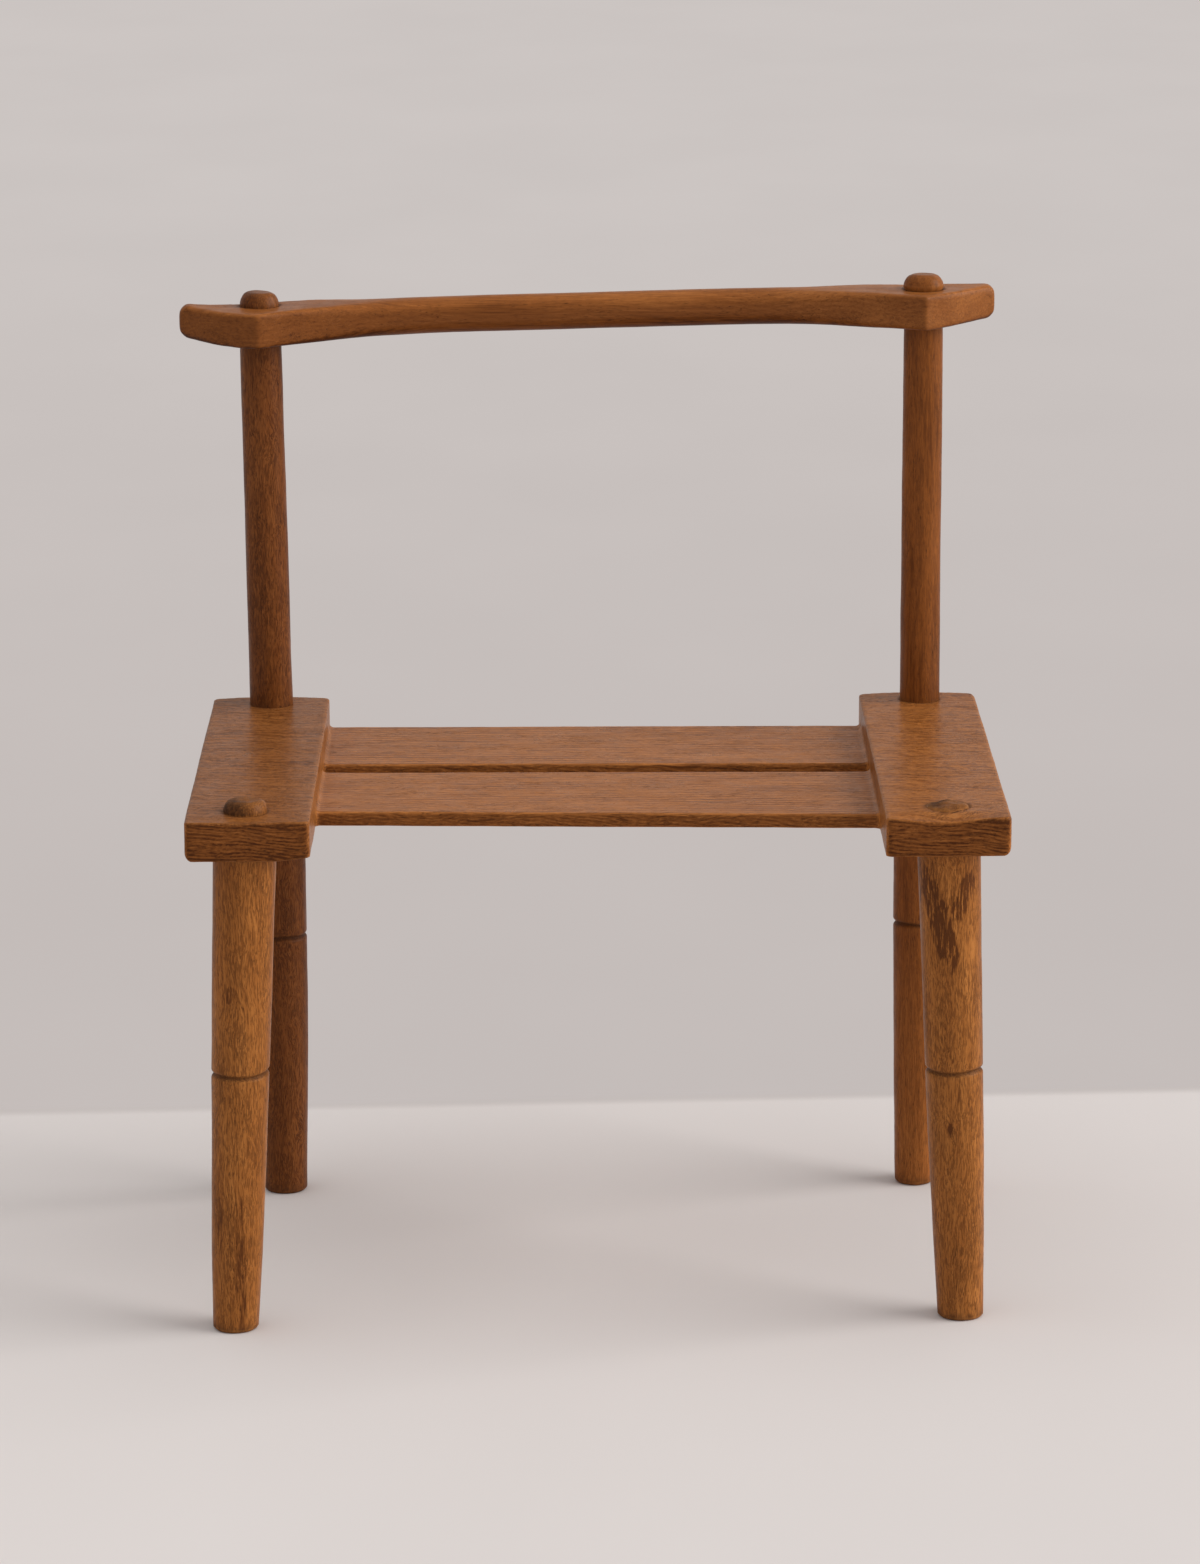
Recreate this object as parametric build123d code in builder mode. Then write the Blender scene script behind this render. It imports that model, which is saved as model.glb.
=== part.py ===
from build123d import *
from dataclasses import dataclass
import math
import os

# A low wooden birthing chair. The seat is carved from one slab: a thick pad on each side, and between the
# pads two thin slats that stop short of the front, which leaves the seat open there. Four round poles
# stand in through holes in the pads. The rear ones rise on as back posts and carry a carved crest rail.
#
# Millimetres. +Z is up and the floor is Z = 0, +Y is towards the back and +X is to the right as seen from
# the front. The origin is on the floor, under the middle of the chair's overall box. The crest reaches
# further out on the left, so the middle of the seat lies a little to the right of the origin.

LEFT = -1
RIGHT = 1
hair = 0.01  # tolerance for finding an edge by its place

# ---- Seat -------------------------------------------------------------------------------------------
seat_height = 325.4  # floor to the top of the side pads
seat_width = 494.0  # over both side pads
pad_width = 75.0
pad_length = 333.4  # front end to the corners of the back end
pad_thickness = 24.3
pad_back_bow = 5.0  # how far the rounded back end stands out past its corners
pad_corner_radius = 3.5  # the outer corners, seen from above
pad_top_edge_radius = 1.0
pad_outer_edge_radius = 5.0  # under side, along the outer edge

slat_thickness = 8.9  # the slats' under side is flush with the pads' under side
front_slat_setback = 78.5  # pads' front end to the front slat, halfway across the seat
front_slat_width = 108.8
rear_slat_width = 106.6
slat_gap = 19.5
slat_skew = 7.0  # how much further back the slats lie at the left pad than at the right one
front_slat_taper = 10.0  # how much wider the front slat is at the right pad than at the left one
slat_edge_radius = 1.6
slat_root_radius = 3.0  # the hollow corner that is left where a slat grows out of a pad

# ---- Legs and uprights ------------------------------------------------------------------------------
front_hole_setback = 28.0  # pads' front end to the centre of a front leg's hole
rear_hole_margin = 15.6  # centre of an upright's hole to the corners of the pads' back end
tenon_clearance = 0.1  # radial, round every tenon

front_shoulder_diameter = 38.4  # under the pad
front_ring_diameter = 35.2  # at the cut ring
front_foot_diameter = 28.0
front_tenon_diameter = 26.4
left_front_ring_height = 163.5  # floor to the cut ring
right_front_ring_height = 160.5
left_front_head_height = 8.0  # how far the left front leg's head stands above the pad
right_front_head_height = 3.2

left_rear_shoulder_diameter = 39.2
left_rear_ring_diameter = 37.4
left_rear_foot_diameter = 27.8
left_post_seat_diameter = 27.8  # in the pad and just above it
left_post_crest_diameter = 26.4  # under the crest

right_rear_shoulder_diameter = 32.6
right_rear_ring_diameter = 31.0
right_rear_foot_diameter = 25.8
right_post_seat_diameter = 25.8
right_post_crest_diameter = 25.0

left_rear_ring_height = 172.8
right_rear_ring_height = 177.0
crest_shoulder = 0.6  # width of the ledge that the crest sits on, round its tenon
left_rear_head_height = 9.6  # how far the left upright's head stands above the crest
right_rear_head_height = 10.5

ring_width = 3.4
ring_depth = 1.5
leg_belly = 0.5  # how far the leg swells between foot and ring, out of a straight taper
foot_edge = 1.6  # the foot's bevelled edge
head_steps = 5  # sections up a head's rounded side
head_last_angle = 75.0  # degrees up the head's curve, where its flat top begins
tenon_root = 12.0  # how far a tenon starts below its shoulder, inside the pole
longest_section = 60.0  # a pole gets another section wherever the next one is further off

# ---- Crest rail -------------------------------------------------------------------------------------
crest_height = 566.2  # floor to the crest's under side at mid length
crest_rise = 8.8  # how much higher the crest sits on the right upright than on the left one
nose_height = 22.2  # thickness of the flat ends at the uprights
nose_reach = 33.5  # the line of the uprights to the point in front of it
nose_back = 18.0  # the line of the uprights to the crest's back there
nose_edge_radius = 1.8  # along the point
nose_back_radius = 10.6  # the ends are round at the back
bar_height = 23.2  # the slender bar at mid length
bar_depth = 22.0
bar_back = 26.0  # the line of the uprights to the back of the bar
bar_edge_radius = 10.2
flare_length = 132.0  # the uprights to where the ends begin to widen
left_wing_length = 51.2  # from an upright out to the tip
right_wing_length = 46.3
left_tip_setback = 24.5  # the front of a tip, behind the point in front of the upright
right_tip_setback = 39.0
left_tip_height = 21.4
right_tip_height = 22.0
tip_depth = 12.0
left_tip_lift = 4.2  # how far the under side curves up at a tip
right_tip_lift = 0.2
wing_swell = 2.5  # how far the slanting front of a wing swells out halfway along it
tip_edge_radius = 3.0
tip_blunting = 4.0  # how far a tip is rounded off, along it and at each face
flare_steps = 9  # sections from a nose to the slender bar
wing_steps = 4  # and from a nose to the tip

# ---- Places worked out from the sizes above ---------------------------------------------------------
seat_underside = seat_height - pad_thickness
pad_inner = seat_width / 2 - pad_width  # mid plane to a pad's inner face
pad_centre = seat_width / 2 - pad_width / 2


@dataclass
class Pole:
    """A round pole: where its hole and foot are, and its sizes from the floor up to its head."""

    name: str
    side: int
    hole_offset: float  # its hole's centre, outwards from the pad's centre line
    hole_distance: float  # its hole's centre, from the pads' front end
    splay: float  # its foot's centre, outwards from its hole's centre
    rake: float  # its foot's centre, backwards from its hole's centre
    shoulder_diameter: float
    ring_diameter: float
    foot_diameter: float
    ring_height: float
    tenon_diameter: float  # in the pad
    head_height: float

    def at(self, height):
        """The point on the axis at this height, from the seat's mid plane and the pads' front end."""
        drop = (seat_height - height) / seat_height
        across = pad_centre + self.hole_offset + self.splay * drop
        return Vector(self.side * across, self.hole_distance + self.rake * drop, height)


rear_hole_distance = pad_length - rear_hole_margin

left_front = Pole(
    name="left_front_leg",
    side=LEFT,
    hole_offset=2.0,
    hole_distance=front_hole_setback,
    splay=12.0,
    rake=-0.6,
    shoulder_diameter=front_shoulder_diameter,
    ring_diameter=front_ring_diameter,
    foot_diameter=front_foot_diameter,
    ring_height=left_front_ring_height,
    tenon_diameter=front_tenon_diameter,
    head_height=left_front_head_height,
)
right_front = Pole(
    name="right_front_leg",
    side=RIGHT,
    hole_offset=1.0,
    hole_distance=front_hole_setback,
    splay=10.9,
    rake=12.0,
    shoulder_diameter=front_shoulder_diameter,
    ring_diameter=front_ring_diameter,
    foot_diameter=front_foot_diameter,
    ring_height=right_front_ring_height,
    tenon_diameter=front_tenon_diameter,
    head_height=right_front_head_height,
)
left_rear = Pole(
    name="left_rear_upright",
    side=LEFT,
    hole_offset=-0.5,
    hole_distance=rear_hole_distance,
    splay=-4.0,
    rake=-10.0,
    shoulder_diameter=left_rear_shoulder_diameter,
    ring_diameter=left_rear_ring_diameter,
    foot_diameter=left_rear_foot_diameter,
    ring_height=left_rear_ring_height,
    tenon_diameter=left_post_seat_diameter,
    head_height=left_rear_head_height,
)
right_rear = Pole(
    name="right_rear_upright",
    side=RIGHT,
    hole_offset=1.1,
    hole_distance=rear_hole_distance,
    splay=-1.3,
    rake=-3.6,
    shoulder_diameter=right_rear_shoulder_diameter,
    ring_diameter=right_rear_ring_diameter,
    foot_diameter=right_rear_foot_diameter,
    ring_height=right_rear_ring_height,
    tenon_diameter=right_post_seat_diameter,
    head_height=right_rear_head_height,
)

# The crest takes its line and its length from where the two uprights reach it.
left_arrival = left_rear.at(crest_height)
right_arrival = right_rear.at(crest_height)
post_reach = (right_arrival.X - left_arrival.X) / 2
post_middle = (right_arrival.X + left_arrival.X) / 2
post_line = (right_arrival.Y + left_arrival.Y) / 2
crest_slope = crest_rise / (2 * post_reach)
overall_depth = post_line + bar_back
front = -overall_depth / 2  # Y of the pads' front end
seat_middle = (left_wing_length - right_wing_length) / 2 - post_middle  # X of the seat's mid plane
crest_middle = seat_middle + post_middle


def on_frame(point):
    """Move a point from the seat's mid plane and the pads' front end into the chair's own frame."""
    return Vector(point.X + seat_middle, point.Y + front, point.Z)


def crest_underside(x):
    return crest_height + crest_slope * (x - crest_middle)


crest_bed = Plane(origin=(crest_middle, 0, crest_height), z_dir=(-crest_slope, 0, 1))


def leaning_plane(pole, height):
    """A plane square to the pole's axis, centred on it at this height."""
    foot = on_frame(pole.at(0))
    centre = on_frame(pole.at(height))
    return Plane(origin=centre, z_dir=centre - foot)


def slat_edges(side):
    """Front and back edge of the front and of the rear slat where they meet this side's pad."""
    skew = -side * slat_skew / 2
    front_edge = front_slat_setback + skew - side * front_slat_taper / 2
    front_slat_back = front_slat_setback + front_slat_width + skew
    rear_edge = front_slat_back + slat_gap
    return (front_edge, front_slat_back), (rear_edge, rear_edge + rear_slat_width)


def make_pad(side):
    """One thick side pad, with its edges rounded."""
    outer = seat_middle + side * seat_width / 2
    inner = seat_middle + side * pad_inner
    centre = seat_middle + side * pad_centre
    end_plane = Plane(origin=(centre, front, seat_underside), x_dir=(1, 0, 0), z_dir=(0, -1, 0))
    full_length = pad_length + pad_back_bow

    with BuildPart() as pad:
        # End profile, run the full length of the pad.
        with BuildSketch(end_plane):
            profile = Rectangle(pad_width, pad_thickness, align=(Align.CENTER, Align.MIN))
            low_corners = profile.vertices().group_by(Axis.Y)[0].sort_by(Axis.X)
            fillet(low_corners[0] if side == LEFT else low_corners[-1], pad_outer_edge_radius)
            fillet(profile.vertices().group_by(Axis.Y)[-1], pad_top_edge_radius)
        extrude(amount=-full_length)

        # Outline from above, with the back end bowed.
        with BuildSketch(Plane.XY.offset(seat_underside)):
            with BuildLine():
                Line((inner, front + pad_length), (inner, front))
                Line((inner, front), (outer, front))
                Line((outer, front), (outer, front + pad_length))
                ThreePointArc(
                    (outer, front + pad_length),
                    (centre, front + full_length),
                    (inner, front + pad_length),
                )
            outline = make_face()
            fillet(outline.vertices(), pad_corner_radius)
        extrude(amount=pad_thickness, mode=Mode.INTERSECT)
    return pad.part


def make_slat(left_edges, right_edges):
    """One thin slat from pad to pad, with its long edges rounded."""
    left_near, left_far = left_edges
    right_near, right_far = right_edges
    with BuildPart() as slat:
        with BuildSketch(Plane.XY.offset(seat_underside)):
            with BuildLine():
                Polyline(
                    (seat_middle - pad_inner, front + left_near),
                    (seat_middle + pad_inner, front + right_near),
                    (seat_middle + pad_inner, front + right_far),
                    (seat_middle - pad_inner, front + left_far),
                    close=True,
                )
            make_face()
        extrude(amount=slat_thickness)
        long_edges = slat.edges().filter_by(lambda edge: edge.length > pad_inner)
        fillet(long_edges, slat_edge_radius)
    return slat.part


def make_seat(poles):
    with BuildPart() as seat:
        for side in (LEFT, RIGHT):
            add(make_pad(side))
        for left_edges, right_edges in zip(slat_edges(LEFT), slat_edges(RIGHT)):
            add(make_slat(left_edges, right_edges))

        # Where a slat grows out of a pad, carving leaves a hollow corner along its top, front and back.
        for side in (LEFT, RIGHT):
            pad_face = seat_middle + side * pad_inner
            slat_top = seat_underside + slat_thickness
            roots = seat.edges().filter_by_position(Axis.X, pad_face - hair, pad_face + hair)
            roots = roots.filter_by_position(Axis.Z, seat_underside + hair, slat_top + hair)
            fillet(roots, slat_root_radius)

        # Leaning through holes for the poles.
        for pole in poles:
            with BuildSketch(leaning_plane(pole, seat_underside - pad_thickness)):
                Circle(pole.tenon_diameter / 2 + tenon_clearance)
            extrude(amount=3 * pad_thickness, mode=Mode.SUBTRACT)

    seat.part.label = "seat"
    return seat.part


def level_circles(pole, outline):
    """Level round sections of a pole, centred on its leaning axis, for (height, radius) pairs."""
    sections = []
    for height, radius in outline:
        with BuildSketch(Plane(origin=on_frame(pole.at(height)))) as section:
            Circle(radius)
        sections.append(section.sketch)
    return sections


def taper(low, low_radius, high, high_radius, belly=0.0):
    """(height, radius) pairs of a taper, from its low end up to the last section before its high end."""
    count = math.ceil((high - low) / longest_section)
    pairs = []
    for share in (step / count for step in range(count)):
        swell = 4 * belly * share * (1 - share)
        pairs.append((low + (high - low) * share, low_radius + (high_radius - low_radius) * share + swell))
    return pairs


def leg_outline(pole):
    """Radius by height from the floor to the pad: bevelled foot, swelling taper, cut ring and shoulder."""
    foot_radius = pole.foot_diameter / 2
    ring_radius = pole.ring_diameter / 2
    shoulder_radius = pole.shoulder_diameter / 2
    ring_low = pole.ring_height - ring_width / 2
    ring_high = pole.ring_height + ring_width / 2
    return [
        (0, foot_radius - foot_edge),
        *taper(foot_edge, foot_radius, ring_low, ring_radius, leg_belly),
        (ring_low, ring_radius),
        (pole.ring_height, ring_radius - ring_depth),
        *taper(ring_high, ring_radius, seat_underside, shoulder_radius),
        (seat_underside, shoulder_radius),
    ]


def head_outline(pole, radius, surface):
    """Radius by height of a button-like head: upright at the surface it stands on, and nearly flat on top."""
    last = math.radians(head_last_angle)
    angles = [last * step / head_steps for step in range(head_steps + 1)]
    return [
        (surface + pole.head_height * math.sin(angle) / math.sin(last), radius * math.sqrt(math.cos(angle)))
        for angle in angles
    ]


def make_front_leg(pole):
    tenon_radius = pole.tenon_diameter / 2
    with BuildPart() as leg:
        loft(level_circles(pole, leg_outline(pole)), ruled=True)
        tenon = [(seat_underside - tenon_root, tenon_radius), *head_outline(pole, tenon_radius, seat_height)]
        loft(level_circles(pole, tenon), ruled=True)

    leg.part.label = pole.name
    return leg.part


def make_upright(pole, post_crest_diameter):
    post_radius = pole.tenon_diameter / 2
    crest_end_radius = post_crest_diameter / 2
    tenon_radius = crest_end_radius - crest_shoulder
    bearing = crest_underside(on_frame(pole.at(crest_height)).X)
    post = [
        (seat_underside - tenon_root, post_radius),
        *taper(seat_height, post_radius, bearing, crest_end_radius),
        (bearing + nose_height / 2, crest_end_radius),
    ]
    tenon = [(bearing - tenon_root, tenon_radius), *head_outline(pole, tenon_radius, bearing + nose_height)]

    with BuildPart() as upright:
        loft(level_circles(pole, leg_outline(pole)), ruled=True)
        # The post runs straight through the pad and tapers up to the crest, where it is scribed to fit.
        loft(level_circles(pole, post), ruled=True)
        split(bisect_by=crest_bed, keep=Keep.BOTTOM)
        # The thinner tenon leaves a ledge round itself, which carries the crest.
        loft(level_circles(pole, tenon), ruled=True)

    upright.part.label = pole.name
    return upright.part


def crest_section(x, front_edge, back_edge, underside, height, front_radius, back_radius):
    """One upright section across the crest; its two edges are counted from the line of the uprights."""
    centre_y = front + post_line + (front_edge + back_edge) / 2
    upright = Plane(origin=(x, centre_y, underside + height / 2), x_dir=(0, 1, 0), z_dir=(1, 0, 0))
    with BuildSketch(upright) as section:
        outline = Rectangle(back_edge - front_edge, height)
        front_corners = outline.vertices().group_by(Axis.X)[0]
        back_corners = outline.vertices().group_by(Axis.X)[-1]
        fillet(front_corners, front_radius)
        fillet(back_corners, back_radius)
    return section.sketch


def flare_section(side, flare):
    """A section of the crest between the slender bar, flare 0, and the nose at the upright, flare 1."""
    x = crest_middle + side * (post_reach - flare_length * (1 - flare))
    bar_front = bar_back - bar_depth
    blend = flare**2
    return crest_section(
        x,
        front_edge=bar_front - (bar_front + nose_reach) * blend,
        back_edge=bar_back + (nose_back - bar_back) * blend,
        underside=crest_underside(x),
        height=bar_height + (nose_height - bar_height) * blend,
        front_radius=bar_edge_radius + (nose_edge_radius - bar_edge_radius) * flare,
        back_radius=bar_edge_radius + (nose_back_radius - bar_edge_radius) * flare,
    )


def wing_section(side, reach, tip_setback, tip_height, tip_lift, share):
    """A section of the flat end outside an upright, from the nose, share 0, to the tip, share 1."""
    x = crest_middle + side * reach
    tip_back = tip_setback - nose_reach + tip_depth
    swell = 4 * wing_swell * share * (1 - share)
    return crest_section(
        x,
        front_edge=tip_setback * share - nose_reach - swell,
        back_edge=nose_back + (tip_back - nose_back) * share,
        underside=crest_underside(x) + tip_lift * share**2,
        height=nose_height + (tip_height - nose_height) * share,
        front_radius=nose_edge_radius + (tip_edge_radius - nose_edge_radius) * share,
        back_radius=nose_back_radius + (tip_edge_radius - nose_back_radius) * share,
    )


def tip_end(side, reach, tip_setback, tip_height, tip_lift):
    """The small end face of a blunt tip."""
    x = crest_middle + side * reach
    tip_front = tip_setback - nose_reach
    return crest_section(
        x,
        front_edge=tip_front + tip_blunting / 2,
        back_edge=tip_front + tip_depth - tip_blunting / 2,
        underside=crest_underside(x) + tip_lift + tip_blunting,
        height=tip_height - 2 * tip_blunting,
        front_radius=tip_edge_radius,
        back_radius=tip_edge_radius,
    )


def make_crest_rail(uprights):
    wings = [
        (LEFT, left_wing_length, left_tip_setback, left_tip_height, left_tip_lift),
        (RIGHT, right_wing_length, right_tip_setback, right_tip_height, right_tip_lift),
    ]
    with BuildPart() as crest:
        # The straight bar, a flare at each end of it, and a wing with a blunt tip past each upright.
        loft([flare_section(LEFT, 0), flare_section(RIGHT, 0)], ruled=True)
        for side in (LEFT, RIGHT):
            loft([flare_section(side, step / flare_steps) for step in range(flare_steps + 1)], ruled=True)
        for side, wing_length, *tip in wings:
            sections = []
            for step in range(wing_steps + 1):
                share = step / wing_steps
                reach = post_reach + (wing_length - tip_blunting) * share
                sections.append(wing_section(side, reach, *tip, share))
            loft([*sections, tip_end(side, post_reach + wing_length, *tip)], ruled=True)

        # Leaning through holes for the uprights' tenons.
        for pole, post_crest_diameter in uprights:
            with BuildSketch(leaning_plane(pole, crest_height - nose_height)):
                Circle(post_crest_diameter / 2 - crest_shoulder + tenon_clearance)
            extrude(amount=3 * nose_height, mode=Mode.SUBTRACT)

    crest.part.label = "crest_rail"
    return crest.part


pieces = [
    make_seat([left_front, right_front, left_rear, right_rear]),
    make_front_leg(left_front),
    make_front_leg(right_front),
    make_upright(left_rear, left_post_crest_diameter),
    make_upright(right_rear, right_post_crest_diameter),
    make_crest_rail([(left_rear, left_post_crest_diameter), (right_rear, right_post_crest_diameter)]),
]

os.makedirs("parts", exist_ok=True)
for piece in pieces:
    export_step(piece, f"parts/{piece.label}.step")
    print(f"{piece.label}: {piece.volume / 1000:.1f} cm3")
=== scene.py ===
import math
from dataclasses import dataclass

import bmesh
import bpy
import numpy as np
from mathutils import Matrix, Vector, noise
from mathutils.bvhtree import BVHTree


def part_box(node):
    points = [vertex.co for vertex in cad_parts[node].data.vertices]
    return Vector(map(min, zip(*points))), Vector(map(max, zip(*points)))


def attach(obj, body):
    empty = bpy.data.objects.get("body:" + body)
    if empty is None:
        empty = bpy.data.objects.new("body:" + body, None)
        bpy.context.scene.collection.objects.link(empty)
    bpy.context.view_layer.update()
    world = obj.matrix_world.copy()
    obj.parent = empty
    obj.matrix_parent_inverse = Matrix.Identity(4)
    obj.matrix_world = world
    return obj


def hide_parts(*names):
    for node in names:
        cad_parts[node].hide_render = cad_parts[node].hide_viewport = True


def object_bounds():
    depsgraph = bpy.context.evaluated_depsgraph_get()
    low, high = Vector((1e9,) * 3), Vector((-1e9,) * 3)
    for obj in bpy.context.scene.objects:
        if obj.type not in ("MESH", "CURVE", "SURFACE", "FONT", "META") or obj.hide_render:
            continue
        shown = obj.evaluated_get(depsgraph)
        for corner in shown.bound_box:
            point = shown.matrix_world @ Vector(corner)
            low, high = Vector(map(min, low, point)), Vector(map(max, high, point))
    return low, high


# The looks of a hand-carved birthing chair. Metres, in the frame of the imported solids: +Z is up and the
# floor is Z = 0, +Y is towards the back and +X is to the right as seen from the front.
#
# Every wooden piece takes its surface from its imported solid. A pole's surface is found by rays from its
# axis, and the seat's and the crest's by a fine remesh. Then each gets what a knife and long use leave:
# waves, soft arrises, chips, uneven grooves and dark joints.

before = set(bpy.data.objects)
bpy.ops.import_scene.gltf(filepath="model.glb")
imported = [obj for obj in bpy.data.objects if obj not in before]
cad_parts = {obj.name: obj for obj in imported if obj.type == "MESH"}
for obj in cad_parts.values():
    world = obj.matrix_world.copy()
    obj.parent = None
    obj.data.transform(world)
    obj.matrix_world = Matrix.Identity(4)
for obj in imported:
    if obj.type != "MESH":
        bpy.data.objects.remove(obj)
cad_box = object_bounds()

mm = 0.001

# ---- Camera ------------------------------------------------------------
camera_place = Vector((-0.01653, -3.61623, 1.18791))
camera_yaw = 0.0059847  # radians, to the right
camera_pitch = 0.2391164  # downwards
camera_roll = -0.00605005
camera_focal_px = 5954.65
picture_height_px = 1564
sensor_mm = 36.0  # along the picture's longer side, which is its height

# ---- Room --------------------------------------------------------------
floor_reach = 30.0
wall_line_left = Vector((-0.395, 0.310))  # the floor's tone ends on this line behind the chair
wall_line_right = Vector((0.360, 0.341))
wall_line_blur = 0.012
floor_color = (0.715, 0.672, 0.660)
wall_color = (0.555, 0.507, 0.490)
far_wall_color = (0.600, 0.556, 0.538)
far_wall_distance = 5.0
floor_gloss = 0.0  # matt, also towards the window
ambient_color = (1.0, 0.985, 0.97)
ambient_strength = 0.54
window_color = (1.0, 0.985, 0.96)
window_strength = 2.8
window_from = Vector((0.91, -0.13, 0.39))
window_softness = 0.90  # radians across
ceiling_color = (1.0, 0.99, 0.98)
ceiling_strength = 0.40
ceiling_from = Vector((-0.15, -0.1, 1.0))
ceiling_softness = 1.2

# ---- Colours of the oiled wood -----------------------------------------
front_leg_color = (0.300, 0.104, 0.0220)
left_rear_color = (0.158, 0.0475, 0.0105)
right_rear_color = (0.243, 0.0760, 0.0155)
seat_color = (0.197, 0.064, 0.0145)
crest_color = (0.194, 0.062, 0.0140)
# The colour of the joints' soiling, also used for painted shade and painted shadow.
dirt_and_shade_color = (0.030, 0.013, 0.007)
dark_share = (0.34, 0.30, 0.33)  # these scale a wood's own colour, channel by channel
light_share = (1.52, 1.68, 1.9)
# The pale of rubbed arrises and raw specks, also used for painted highlight.
rubbed_and_lit_share = (1.75, 2.1, 2.6)
# Scales a wood's colour for painted light.
painted_light_share = (1.5, 1.5, 1.4)

# ---- Seat --------------------------------------------------------------
seat_low, seat_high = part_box("seat")
seat_middle = (seat_low.x + seat_high.x) / 2
seat_top = seat_high.z
seat_underside = seat_low.z
pad_width = 75 * mm
pad_inner = (seat_high.x - seat_low.x) / 2 - pad_width  # mid plane to a pad's inner face
seat_voxel = 1.1 * mm
seat_joint_radius = 13.6 * mm  # of the dark line where a pole comes through a pad
right_dip = 3.2 * mm  # how far a pad's top arris is worn down in the middle of its front end
left_dip = 0.7 * mm
left_rise = 2.0 * mm  # how far the left pad's underside rises inwards at its front end

# ---- Poles -------------------------------------------------------------
segments = 96
row_step = 2.2 * mm
fine_step = 0.5 * mm
ring_reach = 5 * mm  # rows are fine this far above and below a ring
ring_softness = 3
# Width of the ring's dark band: soiling and painted shade.
ring_dirt_and_shade_width = 1.6 * mm
ring_deepening = 0.45  # softening makes a ring shallow, so it is cut deeper by this share of its depth
axis_low_height = 12 * mm  # the two heights between which a pole's axis is found
axis_high_height = 290 * mm
cap_depth = 7 * mm  # a foot's or head's last rows fan out from this far inside it
cap_rows = 22
plug_radius = 15 * mm  # of the plugs that fill the poles' holes in the seat and the crest
left_front_ring = 163.5 * mm  # the height of each cut ring
right_front_ring = 160.5 * mm
left_rear_ring = 172.8 * mm
right_rear_ring = 177.0 * mm
left_rear_head = 9.6 * mm  # how far a rear head stands above the crest
right_rear_head = 10.5 * mm

# ---- Crest -------------------------------------------------------------
crest_voxel = 1.0 * mm
crest_thickness = 22.2 * mm  # where the uprights pass through it
wing_start = 190 * mm  # the flat ends of the crest begin this far from the middle
bar_bin = 5 * mm  # the bar's section is measured in slices of this length
bar_roundness = 2.2  # 2 makes the bar between the uprights oval; more makes it squarer
# Painted shade on the left end and painted light on the right wing, by place along the crest:
dark_end_from = -100 * mm  # the left end darkens between these two places
dark_end_to = -170 * mm
pale_wing_from = 212 * mm  # and the right wing grows paler between these
pale_wing_to = 222 * mm


# ---- Numbers on many points at once ------------------------------------
def smooth_step(low, high, value):
    share = np.clip((value - low) / (high - low), 0, 1)
    return share * share * (3 - 2 * share)


def bell(offset, width):
    """1 where the offset is 0, falling away on both sides."""
    return np.exp(-((offset / width) ** 2))


def lumps(points, size, seed):
    """A value near -1 to 1 for each point, from noise with lumps of this size (one or three lengths)."""
    scaled = np.asarray(points) / np.asarray(size) + 17.3 * seed
    return np.array([noise.noise(Vector(point)) for point in scaled])


def mesh_points(mesh):
    points = np.empty(len(mesh.vertices) * 3)
    mesh.vertices.foreach_get("co", points)
    return points.reshape(-1, 3)


def mesh_normals(mesh):
    normals = np.empty(len(mesh.vertices) * 3)
    mesh.vertex_normals.foreach_get("vector", normals)
    return normals.reshape(-1, 3)


def mesh_edges(mesh):
    edges = np.empty(len(mesh.edges) * 2, dtype=np.int32)
    mesh.edges.foreach_get("vertices", edges)
    return edges.reshape(-1, 2)


def neighbour_mean(values, edges):
    """The mean of each vertex's neighbours, for values with one row per vertex."""
    count = np.bincount(edges.ravel(), minlength=len(values)).astype(float)
    columns = values.reshape(len(values), -1)
    total = np.empty_like(columns)
    for column in range(columns.shape[1]):
        ahead = np.bincount(edges[:, 0], columns[edges[:, 1], column], len(values))
        behind = np.bincount(edges[:, 1], columns[edges[:, 0], column], len(values))
        total[:, column] = ahead + behind
    return (total / np.maximum(count, 1)[:, None]).reshape(values.shape)


def smoothed(values, edges, rounds):
    for _ in range(rounds):
        values = (values + neighbour_mean(values, edges)) / 2
    return values


def set_points(mesh, points):
    """Moves the vertices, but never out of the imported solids' own box."""
    low, high = (np.array(corner) for corner in cad_box)
    mesh.vertices.foreach_set("co", np.clip(points, low, high).ravel())
    mesh.update()


def set_attribute(mesh, name, values):
    attribute = mesh.attributes.new(name, "FLOAT", "POINT")
    attribute.data.foreach_set("value", np.clip(values, 0, 1).astype(np.float32))


def bulge(mesh, rounds):
    """How far each vertex stands out of its surroundings: above 0 on an arris, below 0 in a hollow."""
    points = mesh_points(mesh)
    settled = smoothed(points, mesh_edges(mesh), rounds)
    return np.einsum("ij,ij->i", points - settled, mesh_normals(mesh))


def new_piece(name, mesh, material, node):
    """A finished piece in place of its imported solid."""
    piece = bpy.data.objects.new(name, mesh)
    bpy.context.scene.collection.objects.link(piece)
    mesh.polygons.foreach_set("use_smooth", [True] * len(mesh.polygons))
    mesh.materials.append(material)
    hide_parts(node)
    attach(piece, "root")


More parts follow.
